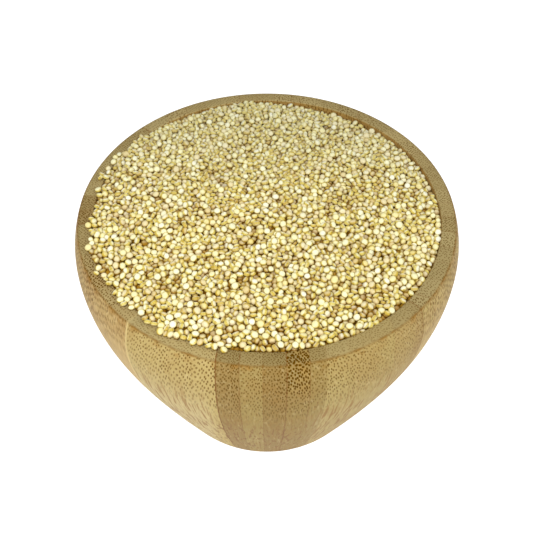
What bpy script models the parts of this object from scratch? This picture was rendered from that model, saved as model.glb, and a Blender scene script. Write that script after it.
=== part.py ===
"""A deep round bowl turned from laminated bamboo, filled to the brim with raw white quinoa.

The origin is the middle of the bowl's flat foot, +Z is up, and the front of the bowl faces -Y.
"""

import math
import random

import bmesh
import bpy
from mathutils import Vector
from mathutils.geometry import delaunay_2d_cdt

MM = 0.001

# The bowl's outside, from foot to rim
BOWL_HEIGHT = 88.0 * MM
RIM_RADIUS = 60.0 * MM
BELLY_RADIUS = 62.2 * MM
BELLY_HEIGHT = 76.5 * MM
FOOT_RADIUS = 37.8 * MM
FOOT_ROUNDING = 3.0 * MM
# How far below the belly the wall curves before it runs nearly straight, as a share of its height
BELLY_FULLNESS = 0.334

# The flat lip and the hollow
LIP_WIDTH = 4.6 * MM
WALL = 6.8 * MM
FLOOR_HEIGHT = 9.0 * MM
FLOOR_ROUNDING = 20.0 * MM
OUTER_EDGE_BEVEL = 0.8 * MM
INNER_EDGE_BEVEL = 0.4 * MM

# The quinoa: how its surface lies in the bowl, and the size of one grain
FIT_GAP = 0.3 * MM
EDGE_LEVEL = 0.2 * MM
EDGE_TILT = 1.3 * MM
HIGH_SIDE = math.radians(225.0)
CROWN = 2.4 * MM
SWELLS = 3
SWELL_HEIGHT = 0.3 * MM
SWELL_LENGTH = 42.0 * MM
GRAIN_PITCH = 2.0 * MM
GRAIN_HEIGHT = 0.9 * MM
GRAIN_SCATTER = 0.42 * MM
HEIGHT_SCATTER = 0.2 * MM
GRAIN_SEED = 7

# How finely the round forms are divided
AROUND = 48
OUTER_STEPS = 11
INNER_STEPS = 9
BRIM_CUTS = 2

BAMBOO_COLOUR = (0.50, 0.36, 0.17, 1.0)
BAMBOO_ROUGHNESS = 0.45
QUINOA_COLOUR = (0.82, 0.70, 0.38, 1.0)
QUINOA_ROUGHNESS = 0.6

SHARP_ANGLE = math.radians(35.0)
TINY = 1e-6
INSIDE_THE_EDGES = 1


def clear_scene():
    for thing in list(bpy.data.objects):
        bpy.data.objects.remove(thing, do_unlink=True)


def make_material(name, colour, roughness):
    material = bpy.data.materials.new(name)
    material.use_nodes = True
    shader = material.node_tree.nodes["Principled BSDF"]
    shader.inputs["Base Color"].default_value = colour
    shader.inputs["Roughness"].default_value = roughness
    shader.inputs["Metallic"].default_value = 0.0
    material.diffuse_color = colour
    return material


def lean(share):
    """A hyperbola that starts level and ends straight, for the wall below the belly."""
    return math.sqrt(1.0 + (share / BELLY_FULLNESS) ** 2) - 1.0


def outer_radius(z):
    """The bowl's outside: a short curve from the belly in to the rim, a long taper to the foot."""
    if z > BELLY_HEIGHT:
        up = (z - BELLY_HEIGHT) / (BOWL_HEIGHT - BELLY_HEIGHT)
        return BELLY_RADIUS - (BELLY_RADIUS - RIM_RADIUS) * up**2
    down = (BELLY_HEIGHT - z) / BELLY_HEIGHT
    return BELLY_RADIUS - (BELLY_RADIUS - FOOT_RADIUS) * lean(down) / lean(1.0)


def inner_radius(z):
    """The hollow: straight under the lip, then an even wall, and a round corner at the floor."""
    radius = min(RIM_RADIUS - LIP_WIDTH, outer_radius(min(z, BELLY_HEIGHT)) - WALL)
    down = max(0.0, 1.0 - (z - FLOOR_HEIGHT) / FLOOR_ROUNDING)
    return radius - FLOOR_ROUNDING * (1.0 - math.sqrt(1.0 - down**2))


def outer_line():
    """The outside from the foot up to the rim."""
    heights = [BOWL_HEIGHT * i / OUTER_STEPS for i in range(OUTER_STEPS + 1)]
    return [(outer_radius(z), z) for z in heights]


def inner_line(gap=0.0):
    """The hollow from the rim to the edge of its floor, with shorter steps at the round corner."""
    points = []
    for i in range(INNER_STEPS + 1):
        up = (1.0 - i / INNER_STEPS) ** 1.6
        z = FLOOR_HEIGHT + (BOWL_HEIGHT - FLOOR_HEIGHT) * up
        points.append((inner_radius(z) - gap, z + gap * (1.0 - up)))
    return points


def turn_on_axis(line):
    """The surface turned about Z from a line of (radius, height) points."""
    bm = bmesh.new()
    verts = [bm.verts.new((r, 0.0, z)) for r, z in line]
    edges = [bm.edges.new(pair) for pair in zip(verts, verts[1:])]
    bmesh.ops.spin(
        bm,
        geom=verts + edges,
        cent=(0.0, 0.0, 0.0),
        axis=(0.0, 0.0, 1.0),
        angle=2.0 * math.pi,
        steps=AROUND,
        use_merge=True,
    )
    bmesh.ops.remove_doubles(bm, verts=bm.verts, dist=TINY)
    return bm


def soften_ring(bm, radius, height, width, segments):
    """Bevels the round edge at that radius and height."""
    ring = [
        edge
        for edge in bm.edges
        if all(
            abs(vert.co.xy.length - radius) < TINY and abs(vert.co.z - height) < TINY
            for vert in edge.verts
        )
    ]
    bmesh.ops.bevel(
        bm,
        geom=ring,
        offset=width,
        segments=segments,
        profile=0.5,
        affect="EDGES",
        clamp_overlap=True,
        material=-1,
    )


def finish(name, bm, material):
    """Turns a bmesh into a named object with its material, shaded smooth between its edges."""
    bmesh.ops.recalc_face_normals(bm, faces=bm.faces)
    mesh = bpy.data.meshes.new(name)
    bm.to_mesh(mesh)
    bm.free()
    mesh.materials.append(material)
    mesh.shade_smooth()
    mesh.set_sharp_from_angle(angle=SHARP_ANGLE)
    bpy.context.scene.collection.objects.link(bpy.data.objects.new(name, mesh))


def make_bowl(material):
    bm = turn_on_axis([(0.0, 0.0)] + outer_line() + inner_line() + [(0.0, FLOOR_HEIGHT)])
    soften_ring(bm, FOOT_RADIUS, 0.0, FOOT_ROUNDING, 3)
    soften_ring(bm, RIM_RADIUS, BOWL_HEIGHT, OUTER_EDGE_BEVEL, 2)
    soften_ring(bm, RIM_RADIUS - LIP_WIDTH, BOWL_HEIGHT, INNER_EDGE_BEVEL, 1)
    finish("bowl", bm, material)


def make_swells(draw):
    """Long, low waves across the heap: a heading and a phase for each."""
    return [(draw.uniform(0.0, math.tau), draw.uniform(0.0, math.tau)) for _ in range(SWELLS)]


def heap_level(x, y, swells):
    """The heap's even surface at a place: high to one side, crowned, with a few swells."""
    share = math.hypot(x, y) / (RIM_RADIUS - LIP_WIDTH)
    level = BOWL_HEIGHT + EDGE_LEVEL + CROWN * (1.0 - share**2)
    level += EDGE_TILT * share * math.cos(math.atan2(y, x) - HIGH_SIDE)
    for heading, phase in swells:
        along = x * math.cos(heading) + y * math.sin(heading)
        level += SWELL_HEIGHT * math.sin(math.tau * along / SWELL_LENGTH + phase)
    return level


def grain_places(draw, reach):
    """Scattered places in a circle, by turns the top of a grain and the dip beside it."""
    step = GRAIN_PITCH / math.sqrt(2.0)
    count = math.ceil(reach / step)
    tops = []
    dips = []
    for column in range(-count, count + 1):
        for row in range(-count, count + 1):
            place = Vector((column * step, row * step))
            place.x += draw.uniform(-GRAIN_SCATTER, GRAIN_SCATTER)
            place.y += draw.uniform(-GRAIN_SCATTER, GRAIN_SCATTER)
            if place.length < reach:
                (dips if (column + row) % 2 else tops).append(place)
    return tops, dips


def make_quinoa(material):
    """The quinoa fills the hollow, and its top has a bump for each grain that shows."""
    draw = random.Random(GRAIN_SEED)
    swells = make_swells(draw)
    wall = inner_line(FIT_GAP)
    brim_radius = wall[0][0]
    bm = turn_on_axis(wall + [(0.0, wall[-1][1])])
    brim = [edge for edge in bm.edges if edge.is_boundary]
    bmesh.ops.subdivide_edges(bm, edges=brim, cuts=BRIM_CUTS)
    brim = [edge for edge in bm.edges if edge.is_boundary]
    ring = list({vert for edge in brim for vert in edge.verts})
    ring.sort(key=lambda vert: math.atan2(vert.co.y, vert.co.x))
    tops, dips = grain_places(draw, brim_radius - 0.5 * GRAIN_PITCH)
    places = [vert.co.xy for vert in ring] + tops + dips
    closed = [(i, (i + 1) % len(ring)) for i in range(len(ring))]
    faces = delaunay_2d_cdt(places, closed, [], INSIDE_THE_EDGES, TINY)[2]
    for vert in ring:
        vert.co.z = heap_level(vert.co.x, vert.co.y, swells)
    verts = list(ring)
    for i, place in enumerate(tops + dips):
        rise = 0.5 * GRAIN_HEIGHT if i < len(tops) else -0.5 * GRAIN_HEIGHT
        rise += draw.gauss(0.0, HEIGHT_SCATTER)
        verts.append(bm.verts.new((*place, heap_level(*place, swells) + rise)))
    for corners in faces:
        bm.faces.new([verts[i] for i in corners])
    crests = set(verts[len(ring):len(ring) + len(tops)])
    saddles = [edge for edge in bm.edges if set(edge.verts) <= crests]
    bmesh.ops.rotate_edges(bm, edges=saddles)
    finish("quinoa", bm, material)


def main():
    clear_scene()
    make_bowl(make_material("bamboo", BAMBOO_COLOUR, BAMBOO_ROUGHNESS))
    make_quinoa(make_material("quinoa_grain", QUINOA_COLOUR, QUINOA_ROUGHNESS))


main()
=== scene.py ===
"""Looks for a bowl of quinoa: a deep bowl turned from laminated bamboo, full of raw white grains.

Sizes are in metres, except in the grain work and the shaders, which count in millimetres.
"""

import math
import random

import bmesh
import bpy
import numpy as np
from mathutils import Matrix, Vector


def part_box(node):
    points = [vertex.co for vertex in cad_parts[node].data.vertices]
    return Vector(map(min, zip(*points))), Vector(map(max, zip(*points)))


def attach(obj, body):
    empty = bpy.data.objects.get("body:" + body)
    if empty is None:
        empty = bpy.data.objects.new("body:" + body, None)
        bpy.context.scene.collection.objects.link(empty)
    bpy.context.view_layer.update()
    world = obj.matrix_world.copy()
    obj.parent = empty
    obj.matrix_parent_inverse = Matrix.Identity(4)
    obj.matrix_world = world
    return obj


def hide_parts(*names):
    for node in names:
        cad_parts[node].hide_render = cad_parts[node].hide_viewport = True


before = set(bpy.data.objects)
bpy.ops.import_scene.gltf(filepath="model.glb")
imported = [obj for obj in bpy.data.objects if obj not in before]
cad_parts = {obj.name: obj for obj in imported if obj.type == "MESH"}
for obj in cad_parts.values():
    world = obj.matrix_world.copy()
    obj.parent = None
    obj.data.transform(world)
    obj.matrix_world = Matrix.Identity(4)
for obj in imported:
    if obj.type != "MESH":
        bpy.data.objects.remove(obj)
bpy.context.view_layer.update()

MM = 0.001

# The bowl, as it was turned
BOWL_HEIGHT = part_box("bowl")[1].z
RIM_RADIUS = 60.0 * MM
BELLY_RADIUS = 62.2 * MM
BELLY_HEIGHT = 76.5 * MM
FOOT_RADIUS = 37.8 * MM
FOOT_ROUNDING = 3.0 * MM
# How far below the belly the wall curves before it runs nearly straight, as a share of its height
BELLY_FULLNESS = 0.334
LIP_WIDTH = 4.6 * MM
WALL = 6.8 * MM
FLOOR_HEIGHT = 9.0 * MM
FLOOR_ROUNDING = 20.0 * MM
OUTER_EDGE_BEVEL = 0.8 * MM
INNER_EDGE_BEVEL = 0.4 * MM

# How finely the round forms are divided
AROUND = 240
OUTER_STEPS = 44
INNER_STEPS = 30
STEPS_CROWD_LOW = 1.6
FOOT_SEGMENTS = 6
OUTER_EDGE_SEGMENTS = 4
INNER_EDGE_SEGMENTS = 3
TINY = 1e-6

# The heap's surface in the bowl
FIT_GAP = 0.3 * MM
EDGE_LEVEL = 0.2 * MM
EDGE_TILT = 1.3 * MM
HIGH_SIDE = math.radians(225.0)
CROWN = 2.4 * MM
SWELLS = 3
SWELL_HEIGHT = 0.3 * MM
SWELL_LENGTH = 42.0 * MM
GRAIN_SEED = 7

# The core under the loose grains
CORE_CUT = 6.0 * MM
CORE_RINGS = 14
CORE_AROUND = 96

# The grains, in millimetres, and how much they vary
GRAIN_HALF_WIDTH = 1.02
GRAIN_FLATNESS = 0.57
SIZE_SPREAD = 0.075
SIZE_LIMITS = (0.78, 1.18)
THICKNESS_RANGE = (0.88, 1.12)
LEAN_SPREAD = 0.9
NARROWEST_OVAL = (0.84, 0.95)
WIDEST_OVAL = (1.02, 1.08)
MEAN_TONE = 0.45
TONE_SPREAD = 0.3

# The layers that they are strewn in, and how far each one reaches over the lip on one side
GRAIN_PITCH = 1.95
PITCH_SCATTER = 0.25
LAYERS = 3
LAYER_STEP = 1.12
CORE_DEPTH = 3.3
START_HEIGHT = 0.7
STRAY_HEIGHT = 0.6
STRAY_SHARE = 0.07
SPILL = 0.7
SPILL_SIDE = math.radians(205.0)
# How far from the wall they are strewn, and how near it they are held inside it
WALL_ROOM = 0.5
WALL_ZONE = 2.0

# The camera, from the photograph's perspective
CAMERA_DISTANCE = 270.0 * MM
CAMERA_ELEVATION = math.radians(45.36)
SENSOR_WIDTH = 36.0
FOCAL_PIXELS = 842.9
FRAME_PIXELS = 533.0
RIM_CENTRE_PIXEL = (266.9, 208.0)
NEAREST_SEEN = 0.01

# The light: a white floor and sky, and two soft boxes, each with its place, size and power
FLOOR_GLOW = 1.05
FLOOR_HALF_WIDTH = 3.0
FLOOR_GREY = (0.3, 0.3, 0.3, 1.0)
WHITE = (1.0, 1.0, 1.0, 1.0)
SKY_GLOW = 0.34
KEY_LIGHT = ((-0.09, -0.23, 0.40), 0.20, 1.22)
FILL_LIGHT = ((0.50, -0.20, 0.55), 0.35, 1.4)
LIT_PLACE = Vector((0.0, 0.0, 0.06))


class Value:
    """A shader socket that takes part in plain arithmetic: each operator adds its Math node."""

    def __init__(self, finish, socket):
        self.finish = finish
        self.socket = socket

    def math(self, operation, *others):
        sockets = dict(enumerate((self, *others)))
        return self.finish.node("Math", {"operation": operation}, sockets)

    def __add__(self, other):
        return self.math("ADD", other)

    def __sub__(self, other):
        return self.math("SUBTRACT", other)

    def __rsub__(self, other):
        return (self * -1.0) + other

    def __mul__(self, other):
        return self.math("MULTIPLY", other)

    def __truediv__(self, other):
        return self.math("DIVIDE", other)

    def __rtruediv__(self, other):
        return self.math("POWER", -1.0) * other

    def __pow__(self, other):
        return self.math("POWER", other)

    def __abs__(self):
        return self.math("ABSOLUTE")

    def __gt__(self, other):
        return self.math("GREATER_THAN", other)

    def __lt__(self, other):
        return self.math("LESS_THAN", other)

    __radd__ = __add__
    __rmul__ = __mul__

    def rise(self, low, high):
        """A smooth step from 0 where this is low to 1 where it is high."""
        return self.finish.node(
            "MapRange",
            {"interpolation_type": "SMOOTHSTEP"},
            {"Value": self, "From Min": low, "From Max": high},
        )


class Finish:
    """A material in the making, around one Principled shader."""

    def __init__(self, name):
        self.material = bpy.data.materials.new(name)
        self.material.use_nodes = True
        self.tree = self.material.node_tree
        self.shader = self.tree.nodes["Principled BSDF"]

    def node(self, kind, settings=None, sockets=None, out=0):
        """Adds a node, with its settings first and then its sockets' values or links."""
        node = self.tree.nodes.new("ShaderNode" + kind)
        for name, value in (settings or {}).items():
            if name == "stops":
                self.set_stops(node.color_ramp, value)
            else:
                setattr(node, name, value)
        for name, value in (sockets or {}).items():
            self.feed(node.inputs[name], value)
        return Value(self, node.outputs[out])

    @staticmethod
    def set_stops(ramp, stops):
        while len(ramp.elements) < len(stops):
            ramp.elements.new(1.0)
        for element, (place, colour) in zip(ramp.elements, stops):
            element.position = place
            element.color = (*colour, 1.0)

    def feed(self, socket, value):
        """Links a value to a socket, or sets the socket to a plain number or colour."""
        if isinstance(value, Value):
            self.tree.links.new(value.socket, socket)
        else:
            socket.default_value = value

    def mix(self, factor, a, b, blend="MIX"):
        """Mixes two colours."""
        settings = {"data_type": "RGBA", "blend_type": blend}
        return self.node("Mix", settings, {0: factor, 6: rgba(a), 7: rgba(b)}, out=2)

    def millimetres(self):
        """The place on the object as three values, in millimetres."""
        place = self.node("TexCoord", out="Object")
        return self.split(place, 1.0 / MM)

    def split(self, vector, scale=1.0):
        """A vector's three numbers, scaled."""
        scaled = self.node("VectorMath", {"operation": "SCALE"}, {0: vector, "Scale": scale})
        node = self.node("SeparateXYZ", sockets={0: scaled}).socket.node
        return [Value(self, socket) for socket in node.outputs]

    def join(self, x, y, z):
        return self.node("CombineXYZ", sockets={0: x, 1: y, 2: z})

    def noise(self, vector, scale, detail=2.0, roughness=0.5):
        sockets = {"Vector": vector, "Scale": scale, "Detail": detail, "Roughness": roughness}
        return self.node("TexNoise", sockets=sockets)

    def shade(self, **sockets):
        """Sets the Principled shader's own sockets, named with underscores."""
        for name, value in sockets.items():
            self.feed(self.shader.inputs[name.replace("_", " ")], value)


def rgba(colour):
    return colour if isinstance(colour, Value) else (*colour, 1.0)


def srgb(red, green, blue):
    """A colour as it looks on screen, from 0 to 255, made linear."""
    def linear(level):
        share = level / 255.0
        return share / 12.92 if share <= 0.04045 else ((share + 0.055) / 1.055) ** 2.4

    return linear(red), linear(green), linear(blue)


def lean(share):
    """A hyperbola that starts level and ends straight, for the wall below the belly."""
    return math.sqrt(1.0 + (share / BELLY_FULLNESS) ** 2) - 1.0


def outer_radius(z):
    """The bowl's outside: a short curve from the belly in to the rim, a long taper to the foot."""
    if z > BELLY_HEIGHT:
        up = (z - BELLY_HEIGHT) / (BOWL_HEIGHT - BELLY_HEIGHT)
        return BELLY_RADIUS - (BELLY_RADIUS - RIM_RADIUS) * up**2
    down = (BELLY_HEIGHT - z) / BELLY_HEIGHT
    return BELLY_RADIUS - (BELLY_RADIUS - FOOT_RADIUS) * lean(down) / lean(1.0)


def inner_radius(z):
    """The hollow: straight under the lip, then an even wall, and a round corner at the floor."""
    radius = min(RIM_RADIUS - LIP_WIDTH, outer_radius(min(z, BELLY_HEIGHT)) - WALL)
    down = max(0.0, 1.0 - (z - FLOOR_HEIGHT) / FLOOR_ROUNDING)
    return radius - FLOOR_ROUNDING * (1.0 - math.sqrt(1.0 - down**2))


def outer_line():
    """The outside from the foot up to the rim."""
    heights = [BOWL_HEIGHT * i / OUTER_STEPS for i in range(OUTER_STEPS + 1)]
    return [(outer_radius(z), z) for z in heights]


def inner_line(top, gap=0.0):
    """The hollow from the given height to the edge of its floor, with shorter steps low down."""
    points = []
    for i in range(INNER_STEPS + 1):
        up = (1.0 - i / INNER_STEPS) ** STEPS_CROWD_LOW
        z = FLOOR_HEIGHT + (top - FLOOR_HEIGHT) * up
        points.append((inner_radius(z) - gap, z + gap * (1.0 - up)))
    return points


def turn_on_axis(line, steps):
    """The surface turned about Z from a line of (radius, height) points."""
    bm = bmesh.new()
    verts = [bm.verts.new((r, 0.0, z)) for r, z in line]
    edges = [bm.edges.new(pair) for pair in zip(verts, verts[1:])]
    bmesh.ops.spin(
        bm,
        geom=verts + edges,
        cent=(0.0, 0.0, 0.0),
        axis=(0.0, 0.0, 1.0),
        angle=math.tau,
        steps=steps,
        use_merge=True,
    )
    bmesh.ops.remove_doubles(bm, verts=bm.verts, dist=TINY)
    return bm


def soften_ring(bm, radius, height, width, segments):
    """Bevels the round edge at that radius and height."""
    ring = [
        edge
        for edge in bm.edges
        if all(
            abs(vert.co.xy.length - radius) < TINY and abs(vert.co.z - height) < TINY
            for vert in edge.verts
        )
    ]
    bmesh.ops.bevel(
        bm,
        geom=ring,
        offset=width,
        segments=segments,
        profile=0.5,
        affect="EDGES",
        clamp_overlap=True,
        material=-1,
    )


def finish_piece(name, bm, finish, node):
    """Turns a bmesh into a piece with its finish, which rides on the part and stands for a node."""
    bmesh.ops.recalc_face_normals(bm, faces=bm.faces)
    mesh = bpy.data.meshes.new(name)
    bm.to_mesh(mesh)
    bm.free()
    mesh.shade_smooth()
    place_piece(name, mesh, finish, node)


def place_piece(name, mesh, finish, node):
    """Makes the mesh an object and says what it rides on, stands for and is made of."""
    mesh.materials.append(finish.material)
    piece = bpy.data.objects.new(name, mesh)
    bpy.context.scene.collection.objects.link(piece)
    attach(piece, "root")
    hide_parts(node)


# The bamboo: four mitred boards of glued strips, with fibres that lean in towards the foot
STRIP = 6.5
STRIP_START = -1.2
# Where one strip of each board is cut short, and by how much
NARROW_STRIP = (12.0, 1.95)
FRONT_BOARD = 3.0
BOARD_SHIFT = 3.05
# Where the front board's middle gives way to its flanks, out from its centre line
FLANK_CENTRE = -1.5
FLANK_EDGE = (11.5, 18.0)
MITRE_LEFT = math.radians(-41.0)
MITRE_RIGHT = math.radians(47.5)
FRONT_LEAN = math.radians(23.0)
SIDE_LEAN = math.radians(13.0)
FIBRE_PITCH = 0.9
FINER_BY = 0.2
FINER_ON_LIP_BY = 0.1
FIBRE_DRIFT = 1.2
# The fibres of one strip don't run on into the next, and crowd towards one side of their own
STRIP_JUMP = 1.7
CROWDING = 0.56
BUNDLE_RIM = (0.17, 0.36)
PITH_RIM = (0.05, 0.18)
LIP_EDGE = (BOWL_HEIGHT / MM - 0.5, BOWL_HEIGHT / MM - 0.08)

# The tones of a strip, and the casts that its tone is multiplied by
PALE_STRIP = srgb(203, 181, 127)
BROWN_STRIP = srgb(136, 107, 58)
MOSSY_CAST = srgb(243, 248, 226)
ROSY_CAST = srgb(253, 238, 228)
BROWN_STREAK = srgb(160, 120, 62)
PALE_STREAK = srgb(222, 202, 148)
BROWN_CLOUD = srgb(158, 118, 58)
# A painted sheen on the lower flanks of the front board
FLANK_SHEEN = srgb(214, 198, 150)
LOW_CAST = srgb(255, 254, 243)
LONG_MARK = srgb(150, 108, 56)
SHORT_DASH = srgb(138, 100, 50)
BROWN_FLECK = srgb(150, 110, 60)
PALE_FLECK = srgb(222, 194, 142)
SMOKE = srgb(150, 108, 56)
PALE_SIDE = srgb(210, 182, 130)
PALE_LIP = srgb(172, 155, 107)
BROWN_LIP = srgb(136, 117, 70)
BURNT_LINE = srgb(120, 84, 32)
SCORCHED = srgb(154, 108, 36)
EMBER = srgb(186, 146, 66)
# Painted shade on the wall of the hollow
HOLLOW_SHADE = srgb(158, 118, 54)
FIBRE_END = srgb(94, 62, 0)
GLUE_LINE = srgb(118, 70, 26)
PALE_MITRE = srgb(222, 200, 138)
BROWN_MITRE = srgb(120, 80, 36)

STRIP_TRAITS = ("brown", "rosy", "dots", "crowd", "lip_dots", "glue", "fine", "scatter", "ashen")
# The strips of the front board from left to right, then those of the left board from the front
LISTED_STRIPS = (
    (0.16, 0.30, 0.52, 1.0, 0.46, 0.0, 0.6, 0.6, 0.9),
    (0.10, 0.30, 0.52, 1.0, 0.48, 0.0, 0.6, 0.6, 1.0),
    (0.14, 0.30, 0.54, 1.0, 0.48, 0.0, 0.4, 0.5, 1.0),
    (0.16, 0.30, 0.60, 1.0, 0.50, 0.1, 0.2, 0.5, 0.6),
    (0.16, 0.30, 0.62, 1.0, 0.50, 0.1, 0.1, 0.5, 0.5),
    (0.14, 0.30, 0.66, 1.0, 0.50, 0.1, 0.0, 0.5, 0.3),
    (0.74, 0.35, 0.72, 1.0, 0.7, 1.0, 0.8, 0.7, 0.9),
    (0.58, 0.10, 0.62, 1.0, 0.6, 0.6, 0.6, 0.6, 0.8),
    (0.78, 0.30, 0.72, 0.9, 0.7, 0.2, 0.8, 0.6, 0.9),
    (0.70, 0.20, 0.74, 0.7, 1.0, 0.7, 0.9, 0.7, 0.2),
    (0.66, 0.10, 0.58, 0.5, 0.6, 0.5, 0.5, 0.6, 0.4),
    (0.32, 0.15, 0.66, 0.2, 0.5, 0.2, 0.6, 0.8, 0.5),
    (0.35, 0.20, 0.60, 0.3, 0.5, 0.1, 0.7, 0.8, 0.4),
    (0.36, 0.20, 0.50, 0.3, 0.5, 0.1, 0.8, 0.7, 0.3),
    (0.41, 0.40, 0.50, 0.6, 0.5, 0.1, 0.8, 0.6, 0.8),
    (0.50, 0.50, 0.50, 0.6, 0.6, 0.1, 0.8, 0.6, 0.8),
    (0.24, 0.50, 0.50, 0.4, 0.52, 0.0, 0.6, 0.5, 0.6),
    (0.24, 0.60, 0.50, 0.4, 0.54, 0.1, 0.6, 0.5, 0.6),
    (0.24, 0.60, 0.50, 0.4, 0.54, 0.1, 0.6, 0.5, 0.6),
    (0.26, 0.60, 0.60, 0.3, 0.73, 0.1, 0.5, 0.5, 0.5),
    (0.34, 0.60, 0.75, 0.3, 1.00, 0.1, 0.4, 0.4, 0.1),
    (0.36, 0.50, 0.70, 0.4, 0.83, 0.1, 0.5, 0.5, 0.5),
    (0.42, 0.40, 0.60, 0.6, 0.63, 0.2, 0.6, 0.5, 0.8),
    (0.39, 0.30, 0.60, 0.6, 0.63, 0.1, 0.6, 0.5, 0.9),
    (0.79, 0.90, 0.70, 0.7, 0.83, 0.9, 0.4, 0.5, 0.3),
    (0.66, 0.70, 0.70, 0.5, 0.73, 0.2, 0.5, 0.5, 0.6),
    (0.22, 0.30, 0.60, 0.5, 0.53, 0.2, 0.6, 0.5, 0.9),
    (0.32, 0.20, 0.60, 0.4, 0.53, 0.2, 0.6, 0.5, 0.9),
    (0.14, 0.20, 0.60, 0.6, 0.63, 0.1, 0.6, 0.5, 0.9),
    (0.36, 0.30, 0.60, 0.6, 0.53, 0.2, 0.6, 0.5, 0.9),
    (0.44, 0.30, 0.60, 0.4, 0.63, 0.1, 0.6, 0.5, 0.9),
    (0.44, 0.30, 0.60, 0.4, 0.63, 0.1, 0.6, 0.5, 0.9),
)
STRIPS_A_BOARD = 16
# The range of each trait on the other two boards
OTHER_STRIPS_LOW = (0.06, 0.10, 0.50, 0.0, 0.50, 0.1, 0.4, 0.4, 0.6)
OTHER_STRIPS_HIGH = (0.43, 0.50, 0.80, 1.0, 0.75, 0.5, 0.8, 0.8, 1.0)


class Bamboo(Finish):
    """Laminated bamboo: dots where fibres are cut across, streaks where the wall follows them."""

    def __init__(self, name):
        super().__init__(name)
        self.x, self.y, self.z = self.millimetres()
        self.radius = (self.x * self.x + self.y * self.y).math("SQRT")
        self.around = RIM_RADIUS / MM / self.radius.math("MAXIMUM", 20.0)
        self.normal = self.split(self.node("NewGeometry", out="Normal"))
        self.lip = self.z.rise(*LIP_EDGE)
        self.lay_boards()
        self.lay_strips()
        self.lay_fibres()
        self.cut_fibres()

    def lay_boards(self):
        """Which board a place is in, and its place across and out from the middle of that board."""
        self.left_side = self.x * math.cos(MITRE_LEFT) + self.y * math.sin(MITRE_LEFT)
        self.right_side = self.x * -math.cos(MITRE_RIGHT) - self.y * math.sin(MITRE_RIGHT)
        self.ahead = self.left_side > 0.0
        self.beside = self.right_side > 0.0
        self.facing = (self.left_side * self.right_side) > 0.0
        self.across = self.y + (self.x - self.y) * self.facing
        self.outwards = abs(self.x) + (abs(self.y) - abs(self.x)) * self.facing
        self.board = self.ahead * 2.0 + self.beside
        self.flank = abs(self.across - FLANK_CENTRE).rise(*FLANK_EDGE)
        self.flank = self.flank * self.facing * self.ahead
        self.side = 1.0 - self.facing

    def lay_strips(self):
        """Strips across the board, which narrow a little towards the foot."""
        fanned = self.across * self.around ** 0.5
        fanned = fanned + (fanned > NARROW_STRIP[0]) * NARROW_STRIP[1]
        strips = (fanned - STRIP_START - (self.board - FRONT_BOARD) * BOARD_SHIFT) / STRIP
        self.strip = strips.math("FLOOR")
        self.share = strips - self.strip
        self.trait = self.strip_traits()

    def strip_traits(self):
        """How each strip looks: listed for the front and left boards, by chance for the others."""
        count = len(LISTED_STRIPS)
        place = self.strip + (1.0 - self.ahead) * STRIPS_A_BOARD + (STRIPS_A_BOARD / 2 + 0.5)
        traits = {}
        for start in range(0, len(STRIP_TRAITS), 3):
            names = STRIP_TRAITS[start:start + 3]
            stops = [(i / count, row[start:start + 3]) for i, row in enumerate(LISTED_STRIPS)]
            listed = self.node("ValToRGB", {"stops": stops}, {0: place / count})
            listed.socket.node.color_ramp.interpolation = "CONSTANT"
            low = OTHER_STRIPS_LOW[start:start + 3]
            high = OTHER_STRIPS_HIGH[start:start + 3]
            span = [top - bottom for top, bottom in zip(high, low)]
            chance = self.node(
                "TexWhiteNoise",
                {"noise_dimensions": "3D"},
                {"Vector": self.join(self.strip, self.board, float(start))},
                out="Color",
            )
            settings = {"operation": "MULTIPLY_ADD"}
            tossed = self.node("VectorMath", settings, {0: chance, 1: span, 2: low})
            traits.update(zip(names, self.split(self.mix(self.beside, tossed, listed))))
        return traits

    def lay_fibres(self):
        """Fibres rise along the board and lean out, in columns side by side and rows behind."""
        trait = self.trait
        self.lean_out = self.by_board(math.sin(SIDE_LEAN), math.sin(FRONT_LEAN))
        self.upright = self.by_board(math.cos(SIDE_LEAN), math.cos(FRONT_LEAN))
        depth = self.outwards * self.upright - self.z * self.lean_out
        self.along = self.outwards * self.lean_out + self.z * self.upright
        wander = self.join(self.across * 0.22, self.outwards * 0.22, self.z * 0.1)
        self.drift = self.noise(wander, 1.0) - 0.5
        self.ember = trait["lip_dots"].rise(0.96, 1.0) * self.z.rise(74.0, 84.0) * self.ahead
        front_lip = self.lip * self.facing * self.ahead * (1.0 - self.ember)
        pitch = FIBRE_PITCH - trait["fine"] * FINER_BY - front_lip * FINER_ON_LIP_BY
        crowding = (trait["crowd"] - 0.5) * CROWDING
        gathered = self.share + self.share * (self.share - 1.0) * crowding
        spread = (self.strip * STRIP_JUMP + gathered) * STRIP
        self.column = (spread + self.drift * FIBRE_DRIFT) / pitch
        self.row = (depth + self.drift * FIBRE_DRIFT) / pitch

    def by_board(self, at_side, in_front):
        """One number for the boards at the sides and another for those in front and behind."""
        return at_side + (in_front - at_side) * self.facing

    def cut_fibres(self):
        """The bundles that show as dots, and how squarely the surface cuts across them."""
        diagonal = math.sqrt(0.5)
        left = (self.column + self.row) * diagonal
        right = (self.row - self.column) * diagonal
        place = self.join(left, right, 0.0)
        cells = self.node(
            "TexVoronoi",
            {"voronoi_dimensions": "2D", "feature": "F1"},
            {"Vector": place, "Scale": 1.0, "Randomness": self.trait["scatter"]},
            out="Distance",
        )
        dots = self.trait["dots"]
        self.boldness = dots + (self.trait["lip_dots"] - dots) * self.lip + self.ember * 0.6
        self.bundle = 1.0 - (cells / (0.70 + self.boldness * 0.42)).rise(*BUNDLE_RIM)
        self.pith = 1.0 - cells.rise(*PITH_RIM)
        facing_side = self.normal[0] * self.x.math("SIGN")
        facing_front = self.normal[1] * self.y.math("SIGN")
        facing_out = self.by_board(facing_side, facing_front)
        square = abs(self.normal[2] * self.upright + facing_out * self.lean_out)
        self.cut_across = square.rise(0.02, 0.30)

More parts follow.
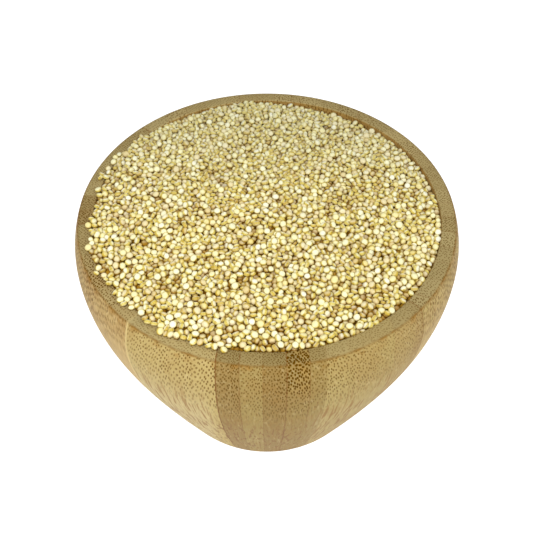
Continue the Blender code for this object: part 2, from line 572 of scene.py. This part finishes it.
    def strip_tone(self):
        """The tone of each strip, with fibre streaks and soft clouds."""
        column, row = self.column, self.row
        tone = self.mix(self.trait["brown"], PALE_STRIP, BROWN_STRIP)
        mossy = self.mix(1.0, tone, MOSSY_CAST, "MULTIPLY")
        rosy = self.mix(1.0, tone, ROSY_CAST, "MULTIPLY")
        tone = self.mix(self.trait["rosy"], mossy, rosy)
        long_ways = self.join(column * 1.6, row * 1.6, self.along * 0.08)
        self.streak = self.noise(long_ways, 1.0, 4.0, 0.6)
        tone = self.mix(self.streak.rise(0.42, 0.72) * 0.30, tone, BROWN_STREAK)
        pale = self.noise(self.join(column * 0.9 + 31.0, row * 0.9, self.along * 0.05), 1.0, 3.0)
        tone = self.mix(pale.rise(0.5, 0.75) * 0.25, tone, PALE_STREAK)
        cloud = self.noise(self.join(self.x, self.y, self.z), 0.09, 2.0)
        return self.mix(cloud.rise(0.45, 0.7) * 0.22, tone, BROWN_CLOUD)

    def wall_noise(self, fine, tall, detail, shift=0.0):
        """Noise that follows the wall round the bowl: how fine it is round it, and up it."""
        x = self.x * self.around * fine + shift
        return self.noise(self.join(x, self.y * self.around * fine, self.z * tall), 1.0, detail)

    def low_marks(self, tone):
        """Low on the front the strips beside the middle are painted pale, a painted sheen, with long
        thin marks.
        """
        low = 1.0 - self.z.rise(58.0, 80.0)
        paler = (self.across < 0.0) * 0.34 + 0.06
        # Painted sheen: the strips beside the middle are painted paler low down, more so on the left
        tone = self.mix(self.flank * low * paler, tone, FLANK_SHEEN)
        tone = self.mix((1.0 - self.flank) * low * self.facing, tone, LOW_CAST, "MULTIPLY")
        mark = self.wall_noise(1.3, 0.10, 1.0).rise(0.55, 0.62) * low * (0.15 + self.flank * 0.6)
        tone = self.mix(mark, tone, LONG_MARK)
        dash = self.wall_noise(1.2, 0.22, 1.0, shift=9.0).rise(0.54, 0.63)
        dash = dash * (1.0 - self.z.rise(44.0, 62.0)) * (1.0 - self.flank * 0.6)
        return self.mix(dash * 0.85, tone, SHORT_DASH)

    def side_flecks(self, tone):
        """The boards at the sides show the fibres' flanks as short flecks, and are smoky high up."""
        fleck = self.wall_noise(1.5, 0.38, 2.0)
        tone = self.mix(fleck.rise(0.52, 0.66) * self.side * 0.3, tone, BROWN_FLECK)
        tone = self.mix((1.0 - fleck.rise(0.34, 0.46)) * self.side * 0.3, tone, PALE_FLECK)
        smoke = self.noise(self.join(self.x, self.y, self.z * 1.5), 0.14, 3.0).rise(0.44, 0.58)
        tone = self.mix(smoke * self.z.rise(64.0, 80.0) * self.side * 0.22, tone, SMOKE)
        return self.mix(self.side * (1.0 - self.z.rise(66.0, 90.0)) * 0.42, tone, PALE_SIDE)

    def lip_and_hollow(self, tone):
        """The lip is greyer, with a burnt line along its outer edge, and the hollow's wall is
        painted darker and warmer, as painted shade.
        """
        ashes = self.mix(self.trait["brown"], PALE_LIP, BROWN_LIP)
        tone = self.mix(self.lip * (0.5 + self.trait["ashen"] * 0.45), tone, ashes)
        below_edge = BOWL_HEIGHT / MM - self.z
        outside = self.radius.rise(58.8, 59.5)
        burnt = self.noise(self.join(self.x, self.y, self.z), 0.35, 3.0)
        line = below_edge.rise(0.0, 0.3) * (1.0 - below_edge.rise(0.4, 0.9)) * outside
        scorch = below_edge.rise(0.0, 0.5) * (1.0 - below_edge.rise(0.8, 3.6)) * outside
        tone = self.mix(line * (0.2 + burnt.rise(0.35, 0.6) * 0.4), tone, BURNT_LINE)
        tone = self.mix(scorch * burnt.rise(0.48, 0.68) * 0.5, tone, SCORCHED)
        tone = self.mix(self.ember * burnt.rise(0.4, 0.6) * 0.28, tone, EMBER)
        # Painted shade: the wall inside the hollow, below the lip, is painted darker and warmer
        inwards = self.normal[0] * self.x + self.normal[1] * self.y < -5.0
        return self.mix(inwards * (1.0 - self.lip) * 0.7, tone, HOLLOW_SHADE)

    def dots_and_joints(self, tone):
        """Fibre ends, dark glue lines between strips, and the mitres between boards."""
        dense_side = 0.5 + (self.share - 0.5) * (self.trait["crowd"] * 2.0 - 1.0)
        fade = (self.z - self.flank * 7.0).rise(50.0, 68.0) * 0.6
        fade = fade + self.z.rise(68.0, 82.0) * 0.3 + 0.15
        strength = self.boldness * (0.9 + dense_side * 0.7) * (0.35 + self.cut_across * 0.65) * fade
        tone = self.mix((self.bundle - self.pith * 0.3) * strength, tone, FIBRE_END)
        line = 1.0 - (self.share + self.drift * 0.03).rise(0.02, 0.075)
        broken = self.noise(self.join(self.strip, self.z * 0.5, self.outwards * 0.5), 1.0, 2.0)
        glue = line * self.trait["glue"] * (0.35 + broken.rise(0.3, 0.6) * 0.65)
        tone = self.mix(glue * 0.9, tone, GLUE_LINE)
        left_mitre = 1.0 - abs(self.left_side).rise(0.22, 0.42)
        right_mitre = 1.0 - abs(self.right_side).rise(0.1, 0.4)
        tone = self.mix(left_mitre * (self.y < 0.0) * (0.6 - self.lip * 0.45), tone, PALE_MITRE)
        return self.mix(right_mitre * 0.45, tone, BROWN_MITRE)


def bamboo_finish():
    """The bowl's finish, from the tone of its strips up to the dots and joints over them."""
    wood = Bamboo("bamboo_strips")
    tone = wood.strip_tone()
    tone = wood.low_marks(tone)
    tone = wood.side_flecks(tone)
    tone = wood.lip_and_hollow(tone)
    tone = wood.dots_and_joints(tone)
    relief = wood.bundle * -0.6 + wood.streak * 0.35
    bump = wood.node("Bump", sockets={"Strength": 0.3, "Distance": 0.12 * MM, "Height": relief})
    wood.shade(
        Base_Color=tone,
        Roughness=0.5 + wood.lip * 0.12 + wood.streak * 0.1,
        Specular_IOR_Level=0.05,
        Normal=bump,
    )
    return wood


def make_bowl():
    line = [(0.0, 0.0)] + outer_line() + inner_line(BOWL_HEIGHT) + [(0.0, FLOOR_HEIGHT)]
    bm = turn_on_axis(line, AROUND)
    soften_ring(bm, FOOT_RADIUS, 0.0, FOOT_ROUNDING, FOOT_SEGMENTS)
    soften_ring(bm, RIM_RADIUS, BOWL_HEIGHT, OUTER_EDGE_BEVEL, OUTER_EDGE_SEGMENTS)
    inner_edge = RIM_RADIUS - LIP_WIDTH
    soften_ring(bm, inner_edge, BOWL_HEIGHT, INNER_EDGE_BEVEL, INNER_EDGE_SEGMENTS)
    finish_piece("bowl_turned", bm, bamboo_finish(), "bowl")


def make_swells():
    """Long, low waves across the heap: a heading and a phase for each."""
    draw = random.Random(GRAIN_SEED)
    return [(draw.uniform(0.0, math.tau), draw.uniform(0.0, math.tau)) for _ in range(SWELLS)]


SWELL_WAVES = make_swells()


def heap_level(x, y):
    """The heap's even surface at places in metres: high to one side, crowned, with swells."""
    share = np.hypot(x, y) / (RIM_RADIUS - LIP_WIDTH)
    level = BOWL_HEIGHT + EDGE_LEVEL + CROWN * (1.0 - share**2)
    level += EDGE_TILT * share * np.cos(np.arctan2(y, x) - HIGH_SIDE)
    for heading, phase in SWELL_WAVES:
        swell = x * math.cos(heading) + y * math.sin(heading)
        level += SWELL_HEIGHT * np.sin(math.tau * swell / SWELL_LENGTH + phase)
    return level


def core_level(x, y):
    """The top of the core under the loose grains, in millimetres as its places are."""
    return heap_level(x * MM, y * MM) / MM - CORE_DEPTH


def reach(axis, towards, wide, thick):
    """How far flattened grains reach from their middles in given directions."""
    tilt = np.einsum("ij,ij->i", axis, towards) ** 2
    across = 1.0 / np.sqrt(tilt / thick**2 + (1.0 - tilt) / wide**2)
    support = np.sqrt(tilt * thick**2 + (1.0 - tilt) * wide**2)
    return 0.5 * (across + support)


def neighbours(middle, apart):
    """Index pairs of grains that lie within a distance of each other, by a grid of cells."""
    cell = np.floor(middle / apart).astype(np.int64)
    cell -= cell.min(axis=0) - 1
    wide, deep = (cell.max(axis=0) + 2)[1:]
    key = (cell[:, 0] * wide + cell[:, 1]) * deep + cell[:, 2]
    order = np.argsort(key, kind="stable")
    ranked = key[order]
    first, second = [], []
    steps = [(i, j, k) for i in (-1, 0, 1) for j in (-1, 0, 1) for k in (-1, 0, 1)]
    for i, j, k in steps[len(steps) // 2:]:
        wanted = key + (i * wide + j) * deep + k
        low = np.searchsorted(ranked, wanted, "left")
        count = np.searchsorted(ranked, wanted, "right") - low
        mine = np.repeat(np.arange(len(key)), count)
        turn = np.arange(len(mine)) - np.repeat(np.cumsum(count) - count, count)
        other = order[np.repeat(low, count) + turn]
        keep = mine != other if (i, j, k) != (0, 0, 0) else mine < other
        first.append(mine[keep])
        second.append(other[keep])
    first = np.concatenate(first)
    second = np.concatenate(second)
    near = np.linalg.norm(middle[first] - middle[second], axis=1) < apart
    return first[near], second[near]


def gather(index, amount, count):
    """Adds up amounts of three numbers by index."""
    return np.stack([np.bincount(index, amount[:, i], count) for i in range(3)], axis=1)


def unit(vectors):
    """The same directions with a length of one."""
    return vectors / np.linalg.norm(vectors, axis=1, keepdims=True)


# How the level around a grain is judged: how far off its neighbours count, how much the highest
# of them count for more, and how far below the result the level lies
CREST_REACH = 3.0
CREST_BIAS = 3.0
CREST_DROP = 0.45


class Heap:
    """Loose grains that fall on the core and on each other until they lie still."""

    FALL = 0.05
    PUSH = 0.55
    TURN = 0.15
    LONGEST_MOVE = 0.35
    STEPS = 90
    REST_STEPS = 12

    def __init__(self, draw):
        self.draw = draw
        places = [self.layer(i) for i in range(LAYERS)]
        strays = self.layer(LAYERS + STRAY_HEIGHT)
        places.append(strays[draw.random(len(strays)) < STRAY_SHARE])
        self.middle = np.concatenate(places)
        count = len(self.middle)
        size = np.clip(draw.normal(1.0, SIZE_SPREAD, count), *SIZE_LIMITS)
        self.wide = GRAIN_HALF_WIDTH * size
        self.thick = self.wide * GRAIN_FLATNESS * draw.uniform(*THICKNESS_RANGE, count)
        axis = draw.normal(0.0, LEAN_SPREAD, (count, 3))
        axis[:, 2] = 1.0
        self.axis = unit(axis)

    def layer(self, number):
        """A scattered layer of places above the core. High layers reach over the lip on one side."""
        brim = (RIM_RADIUS - LIP_WIDTH - FIT_GAP) / MM
        row = GRAIN_PITCH * math.sqrt(0.75)
        count = math.ceil(brim / row) + 1
        column, line = np.meshgrid(np.arange(-count, count + 1), np.arange(-count, count + 1))
        x = (column + 0.5 * (line % 2)).ravel() * GRAIN_PITCH
        y = line.ravel() * row
        scatter = self.draw.normal(0.0, PITCH_SCATTER * GRAIN_PITCH, (2, len(x)))
        turn = self.draw.uniform(0.0, math.tau)
        x, y = x + scatter[0], y + scatter[1]
        x, y = x * math.cos(turn) - y * math.sin(turn), x * math.sin(turn) + y * math.cos(turn)
        over = number * SPILL * np.cos(np.arctan2(y, x) - SPILL_SIDE)
        inside = np.hypot(x, y) < brim - WALL_ROOM + np.maximum(0.0, over)
        x, y = x[inside], y[inside]
        z = core_level(x, y) + START_HEIGHT + number * LAYER_STEP
        return np.stack([x, y, z], axis=1)

    def settle(self):
        """Lets the grains sink step by step, and then only pushes them apart until they rest."""
        for step in range(self.STEPS + self.REST_STEPS):
            if step < self.STEPS:
                self.middle[:, 2] -= self.FALL
            self.part_touching()
            self.stay_on_core()
            self.stay_off_bowl()

    def part_touching(self):
        """Pushes touching grains apart and tips them flat against each other."""
        count = len(self.middle)
        first, second = neighbours(self.middle, 2.0 * self.wide.max())
        gap = self.middle[second] - self.middle[first]
        distance = np.linalg.norm(gap, axis=1)
        towards = gap / np.maximum(distance, TINY)[:, None]
        wanted = reach(self.axis[first], towards, self.wide[first], self.thick[first])
        wanted += reach(self.axis[second], towards, self.wide[second], self.thick[second])
        overlap = wanted - distance
        touch = overlap > 0.0
        first, second, towards = first[touch], second[touch], towards[touch]
        push = towards * (self.PUSH * 0.5 * overlap[touch])[:, None]
        move = gather(second, push, count) - gather(first, push, count)
        length = np.linalg.norm(move, axis=1, keepdims=True)
        self.middle += move * np.minimum(1.0, self.LONGEST_MOVE / np.maximum(length, TINY))
        for index in (first, second):
            side = np.sign(np.einsum("ij,ij->i", self.axis[index], towards))
            tip = push * (side * self.TURN)[:, None]
            self.axis = unit(self.axis + gather(index, tip, count))

    def stay_on_core(self):
        """Lifts grains that have sunk into the core."""
        x, y, z = self.middle.T
        up = np.broadcast_to([0.0, 0.0, 1.0], self.middle.shape)
        low = core_level(x, y) + reach(self.axis, up, self.wide, self.thick)
        self.middle[:, 2] = np.maximum(z, low)

    def stay_off_bowl(self):
        """Keeps grains inside the wall, or on the lip where they lie above it."""
        x, y, z = self.middle.T
        brim = (RIM_RADIUS - LIP_WIDTH) / MM
        lip = BOWL_HEIGHT / MM
        radius = np.maximum(np.hypot(x, y), TINY)
        out = np.stack([x / radius, y / radius, np.zeros_like(x)], axis=1)
        up = np.broadcast_to([0.0, 0.0, 1.0], self.middle.shape)
        side = radius - np.maximum(radius, brim)
        rise = z - np.minimum(z, lip)
        near = np.hypot(side, rise)
        below = (rise <= 0.0) & (radius > brim - WALL_ZONE)
        wide = reach(self.axis, out, self.wide, self.thick)
        inward = np.where(below, np.minimum(0.0, brim - wide - radius), 0.0)
        away = out * side[:, None] + up * rise[:, None]
        away = away / np.maximum(near, TINY)[:, None]
        needed = reach(self.axis, away, self.wide, self.thick) - near
        push = np.where((rise > 0.0) & (needed > 0.0), needed, 0.0)
        self.middle += out * inward[:, None] + away * push[:, None]

    def crest(self):
        """How high the heap lies around each grain, mostly by the highest grains near it."""
        low = self.middle[:, 2].min()
        weight = np.exp(CREST_BIAS * (self.middle[:, 2] - low))
        first, second = neighbours(self.middle * (1.0, 1.0, 0.0), CREST_REACH)
        count = len(weight)
        total = weight + np.bincount(first, weight[second], count)
        total += np.bincount(second, weight[first], count)
        return np.log(total) / CREST_BIAS + low - CREST_DROP

    def basis(self):
        """Three axes for each grain: two across it, turned at random, and its short one."""
        turn = self.draw.normal(0.0, 1.0, self.axis.shape)
        side = unit(np.cross(self.axis, turn))
        return np.stack([side, np.cross(self.axis, side), self.axis], axis=2)


# The kinds of grain: name, share of the heap, and its pale, middle and deep colours
GRAIN_KINDS = (
    ("quinoa_chalky", 0.21, (255, 255, 232), (252, 251, 212), (246, 242, 190)),
    ("quinoa_cream", 0.26, (254, 253, 214), (250, 247, 199), (243, 235, 179)),
    ("quinoa_golden", 0.26, (252, 248, 199), (247, 240, 182), (238, 223, 148)),
    ("quinoa_tan", 0.26, (247, 242, 205), (239, 228, 184), (224, 205, 149)),
)

# One grain of unit size: its sides, how blunt it is, and the beak and the notch on its edge
GRAIN_SIDES = 10
POLE_HEIGHT = 0.94
RING_ANGLES = (0.36, 1.02)
GRAIN_ROUNDING = 0.78
EDGE_FROM = 0.7
BEAK_RISE = 0.10
NOTCH_RISE = -0.07
NOTCH_ANGLE = 0.65
BEAK_SPREAD = 0.35
# How much larger the grains are made than they were packed
GRAIN_SWELL = 1.07

# The casts and marks of a grain's coat, with painted shade at its rim, on its undersides, towards
# the back of the heap and deep down
RIM_TINT_AND_SHADE = srgb(212, 190, 64)
UNDERSIDE_SHADE = srgb(208, 180, 52)
GROOVE = srgb(176, 138, 60)
BEAK_TIP = srgb(160, 116, 48)
MOTTLE = srgb(208, 176, 96)
BACK_SHADE_CAST = srgb(240, 244, 255)
BACK_SHADE_TONE = srgb(214, 203, 148)
DEPTH_SHADE = srgb(160, 119, 0)
CORE_GRAINS = srgb(150, 112, 30)
CORE_GAPS = srgb(92, 62, 8)


def grain_shape():
    """One grain of unit size: a flattened, blunt-edged disc with a small beak at one side."""
    half = [(0.0, POLE_HEIGHT)]
    for angle in reversed(RING_ANGLES):
        half.append((math.cos(angle) ** GRAIN_ROUNDING, math.sin(angle) ** GRAIN_ROUNDING))
    line = half + [(r, -z) for r, z in reversed(half)]
    bm = turn_on_axis(line, GRAIN_SIDES)
    for vert in bm.verts:
        away = vert.co.xy.length
        if away > EDGE_FROM:
            angle = math.atan2(vert.co.y, vert.co.x)
            beak = BEAK_RISE * math.exp(-((angle / BEAK_SPREAD) ** 2))
            notch = NOTCH_RISE * math.exp(-(((angle - NOTCH_ANGLE) / BEAK_SPREAD) ** 2))
            vert.co.xy *= 1.0 + beak + notch
    bmesh.ops.recalc_face_normals(bm, faces=bm.faces)
    bm.verts.index_update()
    places = np.array([vert.co[:] for vert in bm.verts])
    faces = [[vert.index for vert in face.verts] for face in bm.faces]
    bm.free()
    return places, faces


def joined_grains(name, shape, middle, basis, size, tone, crest):
    """One mesh of many grains, with each point's place on its grain, its tone and its depth."""
    places, faces = shape
    count, corners = len(middle), len(places)
    sized = places[None] * size[:, None]
    points = np.einsum("nij,nkj->nki", basis, sized) + middle[:, None]
    loops = np.concatenate([np.array(face) for face in faces])
    starts = np.cumsum([0] + [len(face) for face in faces[:-1]])
    all_loops = (loops[None] + np.arange(count)[:, None] * corners).ravel()
    all_starts = (starts[None] + np.arange(count)[:, None] * len(loops)).ravel()
    mesh = bpy.data.meshes.new(name)
    mesh.vertices.add(count * corners)
    mesh.vertices.foreach_set("co", (points * MM).ravel())
    mesh.loops.add(len(all_loops))
    mesh.loops.foreach_set("vertex_index", all_loops)
    mesh.polygons.add(len(all_starts))
    mesh.polygons.foreach_set("loop_start", all_starts)
    mesh.update(calc_edges=True)
    mesh.validate()
    mesh.shade_smooth()
    spot = mesh.attributes.new("grain_spot", "FLOAT_VECTOR", "POINT")
    spot.data.foreach_set("vector", np.tile(places, (count, 1)).ravel())
    shade = mesh.attributes.new("grain_tone", "FLOAT", "POINT")
    shade.data.foreach_set("value", np.repeat(tone, corners))
    sunk = mesh.attributes.new("grain_depth", "FLOAT", "POINT")
    sunk.data.foreach_set("value", (crest[:, None] - points[:, :, 2]).ravel())
    return mesh


def grain_finish(name, pale, middle, deep):
    """A raw seed: an opaque, chalky face in a yellower rim; painted shade darkens its edge, its
    undersides, the grains towards the back and those that lie deep down.
    """
    seed = Finish(name)
    tone = seed.node("Attribute", {"attribute_name": "grain_tone"}, out="Fac")
    depth = seed.node("Attribute", {"attribute_name": "grain_depth"}, out="Fac")
    spot = seed.node("Attribute", {"attribute_name": "grain_spot"}, out="Vector")
    x, y, z = seed.split(spot)
    stops = [(0.0, srgb(*pale)), (0.5, srgb(*middle)), (1.0, srgb(*deep))]
    coat = seed.node("ValToRGB", {"stops": stops}, {0: tone})
    away = (x * x + y * y).math("SQRT")
    rim = away.rise(0.72, 0.95) ** 1.6
    groove = away.rise(0.58, 0.72) * (1.0 - away.rise(0.72, 0.86))
    beak = (1.0 - (abs(y) + (x < 0.0) * 2.0).rise(0.1, 0.3)) * away.rise(0.7, 0.9)
    up = seed.split(seed.node("NewGeometry", out="Normal"))[2]
    # The rim is painted yellower where the germ rings the seed, and darker, as painted shade at the
    # grain's edge
    coat = seed.mix(rim * 0.85, coat, RIM_TINT_AND_SHADE, "MULTIPLY")
    # Painted shade: faces of a grain that turn down or aside are painted darker and yellower
    coat = seed.mix((1.0 - up.rise(-0.3, 0.5)) * 0.8, coat, UNDERSIDE_SHADE, "MULTIPLY")
    coat = seed.mix(groove * 0.25, coat, GROOVE)
    coat = seed.mix(beak * 0.35, coat, BEAK_TIP)
    # Painted shade: towards the back, where the light falls off, the grains are painted cooler,
    # duller and more even, with less of the depth shade
    back = seed.millimetres()[1].rise(-10.0, 55.0)
    coat = seed.mix(back, coat, BACK_SHADE_CAST, "MULTIPLY")
    mottle = seed.noise(seed.join(x + tone * 40.0, y, z), 2.2, 2.0)
    coat = seed.mix(mottle.rise(0.45, 0.75) * 0.2, coat, MOTTLE)
    coat = seed.mix(back * 0.35, coat, BACK_SHADE_TONE)
    # Painted shade: the deeper a grain lies below the grains around it, the darker and browner it is
    # painted
    sunk = depth.rise(-0.08, 1.15) * (0.97 - back * 0.3)
    coat = seed.mix(sunk, coat, DEPTH_SHADE, "MULTIPLY")
    relief = rim * 0.5 - groove
    bump = seed.node("Bump", sockets={"Strength": 0.3, "Distance": 0.06 * MM, "Height": relief})
    seed.shade(
        Base_Color=coat,
        Roughness=0.5 + mottle * 0.12,
        Specular_IOR_Level=0.03,
        Normal=bump,
    )
    return seed


def core_finish():
    """What shows in the gaps: grains deep down, in shade."""
    core = Finish("quinoa_depths")
    x, y, z = core.millimetres()
    place = core.join(x, y, z)
    cells = core.node(
        "TexVoronoi",
        {"feature": "F1"},
        {"Vector": place, "Scale": 0.52, "Randomness": 0.8},
        out="Distance",
    )
    tone = core.mix(cells.rise(0.2, 0.8), CORE_GRAINS, CORE_GAPS)
    relief = 1.0 - cells
    bump = core.node("Bump", sockets={"Strength": 0.8, "Distance": 0.6 * MM, "Height": relief})
    core.shade(Base_Color=tone, Roughness=0.8, Specular_IOR_Level=0.0, Normal=bump)
    return core


def make_core():
    """The part of the heap that no one sees: it fills the hollow up to the loose grains."""
    top = BOWL_HEIGHT - CORE_CUT
    wall = inner_line(top, FIT_GAP)
    rings = [(wall[0][0] * i / CORE_RINGS, top) for i in range(CORE_RINGS)]
    line = rings + wall + [(0.0, wall[-1][1])]
    bm = turn_on_axis(line, CORE_AROUND)
    for vert in bm.verts:
        if abs(vert.co.z - top) < TINY:
            vert.co.z = core_level(vert.co.x / MM, vert.co.y / MM) * MM
    finish_piece("quinoa_core", bm, core_finish(), "quinoa")


def make_grains():
    """Loose grains over the core, joined into one mesh for each kind."""
    draw = np.random.default_rng(GRAIN_SEED)
    heap = Heap(draw)
    heap.settle()
    basis = heap.basis()
    count = len(heap.middle)
    oval = draw.uniform(NARROWEST_OVAL, WIDEST_OVAL, (count, 2))
    size = np.stack([heap.wide * oval[:, 0], heap.wide * oval[:, 1], heap.thick], axis=1)
    size *= GRAIN_SWELL
    tone = np.clip(draw.normal(MEAN_TONE, TONE_SPREAD, count), 0.0, 1.0)
    shares = np.cumsum([kind[1] for kind in GRAIN_KINDS])
    kind_of = np.searchsorted(shares, draw.random(count) * shares[-1])
    crest = heap.crest()
    shape = grain_shape()
    for number, (name, _, *colours) in enumerate(GRAIN_KINDS):
        mine = kind_of == number
        mesh = joined_grains(
            name, shape, heap.middle[mine], basis[mine], size[mine], tone[mine], crest[mine]
        )
        place_piece(name, mesh, grain_finish(name, *colours), "quinoa")


def make_stage():
    """A bright white floor, as in the photo."""
    floor_finish = Finish("studio_floor")
    floor_finish.shade(
        Base_Color=FLOOR_GREY,
        Roughness=0.9,
        Emission_Color=WHITE,
        Emission_Strength=FLOOR_GLOW,
    )
    bm = bmesh.new()
    bmesh.ops.create_grid(bm, x_segments=1, y_segments=1, size=FLOOR_HALF_WIDTH)
    mesh = bpy.data.meshes.new("floor")
    bm.to_mesh(mesh)
    bm.free()
    mesh.materials.append(floor_finish.material)
    floor = bpy.data.objects.new("floor", mesh)
    bpy.context.scene.collection.objects.link(floor)


def soft_light(name, place, size, power):
    """A square soft box that faces the bowl."""
    light = bpy.data.lights.new(name, "AREA")
    light.size = size
    light.energy = power
    lamp = bpy.data.objects.new(name, light)
    lamp.location = place
    aim = LIT_PLACE - lamp.location
    lamp.rotation_euler = aim.to_track_quat("-Z", "Y").to_euler()
    bpy.context.scene.collection.objects.link(lamp)


def make_lights():
    """A white sky, a key light from the front and a weaker fill from the right."""
    world = bpy.data.worlds.new("studio")
    world.use_nodes = True
    background = world.node_tree.nodes["Background"]
    background.inputs["Color"].default_value = WHITE
    background.inputs["Strength"].default_value = SKY_GLOW
    bpy.context.scene.world = world
    soft_light("key", *KEY_LIGHT)
    soft_light("fill", *FILL_LIGHT)


def make_camera():
    """The camera looks at the middle of the rim, and its shift puts that where the photo has it."""
    rim = Vector((0.0, 0.0, BOWL_HEIGHT))
    back = Vector((0.0, -math.cos(CAMERA_ELEVATION), math.sin(CAMERA_ELEVATION)))
    lens = bpy.data.cameras.new("camera")
    lens.sensor_width = SENSOR_WIDTH
    lens.lens = FOCAL_PIXELS / FRAME_PIXELS * SENSOR_WIDTH
    lens.shift_x = (FRAME_PIXELS / 2.0 - RIM_CENTRE_PIXEL[0]) / FRAME_PIXELS
    lens.shift_y = (RIM_CENTRE_PIXEL[1] - FRAME_PIXELS / 2.0) / FRAME_PIXELS
    lens.clip_start = NEAREST_SEEN
    camera = bpy.data.objects.new("camera", lens)
    camera.location = rim + back * CAMERA_DISTANCE
    camera.rotation_euler = (math.pi / 2.0 - CAMERA_ELEVATION, 0.0, 0.0)
    bpy.context.scene.collection.objects.link(camera)
    bpy.context.scene.camera = camera


make_camera()
make_bowl()
make_core()
make_grains()
make_stage()
make_lights()
bpy.context.scene.view_settings.view_transform = "Standard"
